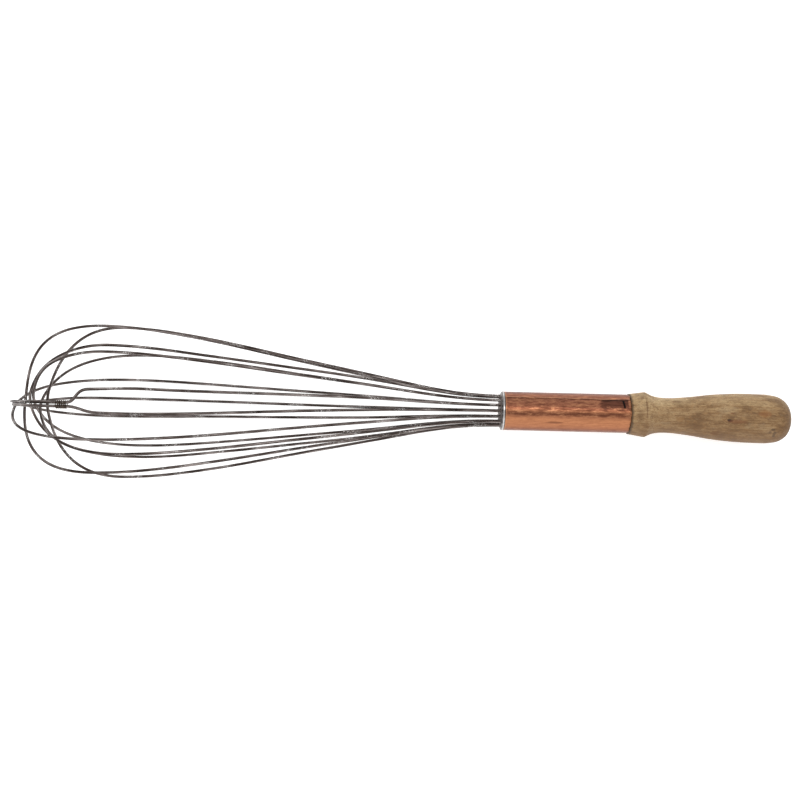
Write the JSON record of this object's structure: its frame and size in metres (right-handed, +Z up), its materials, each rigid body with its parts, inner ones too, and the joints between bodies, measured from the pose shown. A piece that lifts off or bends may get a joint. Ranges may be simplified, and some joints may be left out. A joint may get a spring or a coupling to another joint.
{
  "type": "dough whisk",
  "caption": "Balloon whisk with tinned wire loops held in a copper sleeve on a turned wooden handle, lying down as on a table.",
  "frame": {"origin": "centre of the bounding box in plan, at the surface that the whisk lies on", "axes": "+Z up from the table; the whisk lies along X with its handle towards +X and its balloon towards -X; +Y is across it. Its own axis slopes down to the handle by about 4.5 degrees."},
  "size_m": [0.4478, 0.0892, 0.0894],
  "materials": {
    "tinned_wire": "dull tinned steel wire, darkened with age",
    "binding_wire": "fine brownish binding wire",
    "copper": "satin copper with brown tarnish",
    "steel": "tinned steel, rubbed bright on its lip",
    "solder": "dull grey solder, mottled",
    "core_wood": "bare wood, hidden inside",
    "handle_wood": "turned beech, worn smooth and unvarnished"
  },
  "bodies": {
    "root": {"wire_loop_outer": "tinned_wire", "wire_loop_lower_front": "tinned_wire", "wire_loop_flat": "tinned_wire", "wire_loop_tall": "tinned_wire", "wire_loop_upper_back": "tinned_wire", "wire_loop_middle_back": "tinned_wire", "wire_loop_lower_back": "tinned_wire", "wire_loop_inner": "tinned_wire", "tip_tie": "binding_wire", "copper_sleeve": "copper", "steel_collar": "steel", "solder_plug": "solder", "wire_core": "core_wood", "handle": "handle_wood"}
  },
  "joints": []
}
